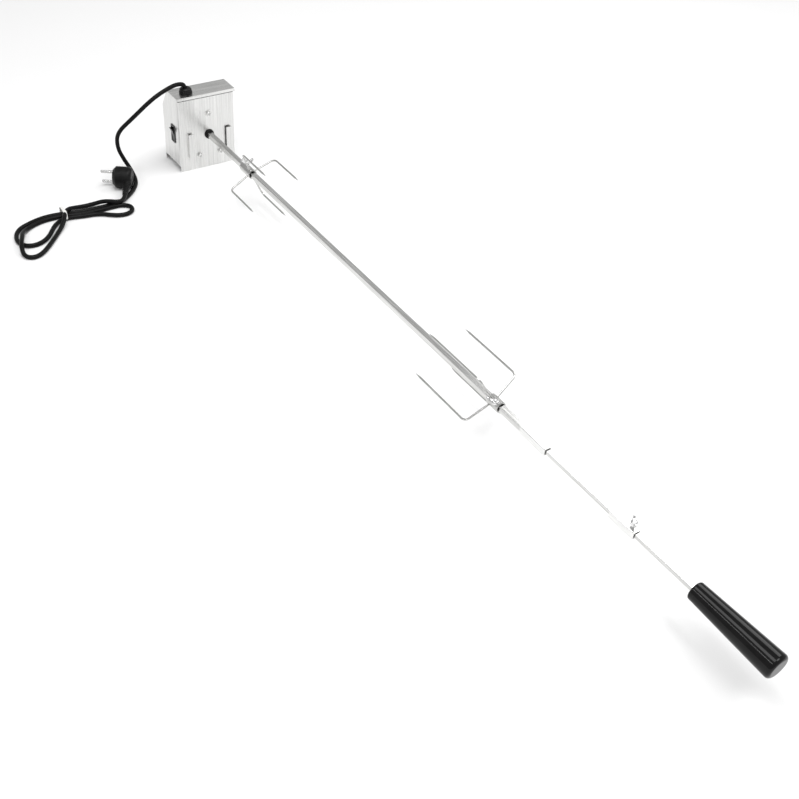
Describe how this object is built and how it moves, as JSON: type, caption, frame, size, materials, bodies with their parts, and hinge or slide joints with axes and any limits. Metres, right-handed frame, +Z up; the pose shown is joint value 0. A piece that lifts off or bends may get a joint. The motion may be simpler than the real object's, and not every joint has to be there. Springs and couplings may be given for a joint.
{
  "type": "rotisserie spit roaster",
  "caption": "Motor-driven rotisserie: geared motor in an upright steel case, long square spit with sliding pronged forks, a stop bush, a round handle and a mains cord.",
  "frame": {"origin": "the spit's axis where it crosses the outer face of the case's front plate", "axes": "+X along the spit from the motor to the handle, +Z up, +Y away from the side that holds the switch"},
  "size_m": [1.2588, 0.4151, 0.1489],
  "materials": {
    "case_sheet": "brushed stainless steel sheet",
    "bright_screw": "bright nickel plate",
    "plated_steel": "zinc-plated steel",
    "hub_steel": "black oxide steel",
    "gear_brass": "machined brass",
    "gear_nylon": "white nylon",
    "copper_coil": "enamelled copper under tape",
    "ferrite": "ferrite magnet",
    "switch_black": "gloss black plastic",
    "gland_black": "black nylon",
    "seal_rubber": "black rubber",
    "lead_brown": "brown insulated wire",
    "lead_blue": "blue insulated wire",
    "lead_green": "green and yellow insulated wire",
    "spit_steel": "polished stainless steel bar",
    "fork_steel": "bright plated steel wire",
    "handle_black": "gloss black phenolic",
    "plug_rubber": "moulded black rubber",
    "pin_plate": "nickel plate",
    "cord_sheath": "black rubber sheath",
    "tie_white": "white plastic"
  },
  "bodies": {
    "housing": {"front_shell": "case_sheet", "rear_cover": "case_sheet", "base_plate": "case_sheet", "bracket_guides": "case_sheet", "case_rear_screws": "bright_screw", "front_washers": "bright_screw", "front_screws": "bright_screw", "gear_posts": "plated_steel", "gear_plate_front": "plated_steel", "gear_plate_rear": "plated_steel", "gear_plate_screws": "bright_screw", "gear_spindles": "plated_steel", "motor_can": "plated_steel", "stator_coil": "copper_coil", "stator_poles": "plated_steel", "motor_screws": "bright_screw", "switch_body": "switch_black", "switch_terminals": "gear_brass", "gland_body": "gland_black", "gland_locknut": "gland_black", "gland_nut": "gland_black", "gland_seal": "seal_rubber", "lead_live": "lead_brown", "lead_switched": "lead_brown", "lead_neutral": "lead_blue", "lead_earth": "lead_green", "plug_body": "plug_rubber", "plug_pins": "pin_plate", "plug_strain_relief": "plug_rubber", "cord_lead_out": "cord_sheath", "cord_tie": "tie_white", "cord_hank": "cord_sheath"},
    "output": {"output_hub": "hub_steel", "output_gear": "plated_steel"},
    "second_gear": {"second_gear": "gear_brass"},
    "first_gear": {"first_gear": "gear_nylon"},
    "rotor": {"rotor_shaft": "plated_steel", "rotor_pinion": "gear_brass", "rotor_magnet": "ferrite"},
    "rocker": {"switch_rocker": "switch_black"},
    "spit": {"spit_rod": "spit_steel", "coupling_sleeve": "spit_steel", "thin_rod": "spit_steel", "handle": "handle_black"},
    "fork_1": {"fork_1_collar": "fork_steel", "fork_1_prongs": "fork_steel"},
    "fork_1_screw": {"fork_1_wing_screw": "fork_steel"},
    "fork_2": {"fork_2_collar": "fork_steel", "fork_2_prongs": "fork_steel"},
    "fork_2_screw": {"fork_2_wing_screw": "fork_steel"},
    "bush": {"stop_bush": "spit_steel"},
    "bush_screw": {"bush_wing_screw": "fork_steel"}
  },
  "joints": [
    {"name": "output_spin", "type": "hinge", "parent": "housing", "child": "output", "pos_m": [0, 0, 0], "axis": [1, 0, 0], "continuous": true},
    {"name": "second_gear_spin", "type": "hinge", "parent": "housing", "child": "second_gear", "pos_m": [-0.015, 0.02411, 0.02873], "axis": [1, 0, 0], "continuous": true},
    {"name": "first_gear_spin", "type": "hinge", "parent": "housing", "child": "first_gear", "pos_m": [-0.015, 0.02723, 0.011], "axis": [1, 0, 0], "continuous": true},
    {"name": "rotor_spin", "type": "hinge", "parent": "housing", "child": "rotor", "pos_m": [-0.015, 0.01823, -0.00459], "axis": [1, 0, 0], "continuous": true},
    {"name": "switch_rock", "type": "hinge", "parent": "housing", "child": "rocker", "pos_m": [-0.021, -0.0505, 0.003], "axis": [1, 0, 0], "range_deg": [-22, 0]},
    {"name": "spit_slide", "type": "slide", "parent": "output", "child": "spit", "axis": [1, 0, 0], "range_m": [0, 0.06]},
    {"name": "fork_1_slide", "type": "slide", "parent": "spit", "child": "fork_1", "axis": [1, 0, 0], "range_m": [-0.11, 0.415]},
    {"name": "fork_1_screw_turn", "type": "hinge", "parent": "fork_1", "child": "fork_1_screw", "pos_m": [0.134, 0, 0.0115], "axis": [0, 0, 1], "range_deg": [0, 720]},
    {"name": "fork_2_slide", "type": "slide", "parent": "spit", "child": "fork_2", "axis": [1, 0, 0], "range_m": [-0.415, 0.03]},
    {"name": "fork_2_screw_turn", "type": "hinge", "parent": "fork_2", "child": "fork_2_screw", "pos_m": [0.769, -0.00739, 0.00881], "axis": [0, -0.6428, 0.766], "range_deg": [0, 720]},
    {"name": "bush_slide", "type": "slide", "parent": "spit", "child": "bush", "axis": [1, 0, 0], "range_m": [-0.105, 0.08]},
    {"name": "bush_screw_turn", "type": "hinge", "parent": "bush", "child": "bush_screw", "pos_m": [0.998, 0, 0.00925], "axis": [0, 0, 1], "range_deg": [0, 720]}
  ],
  "couplings": [
    {"joint": "second_gear_spin", "follows": "output_spin", "ratio": -4},
    {"joint": "first_gear_spin", "follows": "output_spin", "ratio": 16},
    {"joint": "rotor_spin", "follows": "output_spin", "ratio": -64}
  ]
}
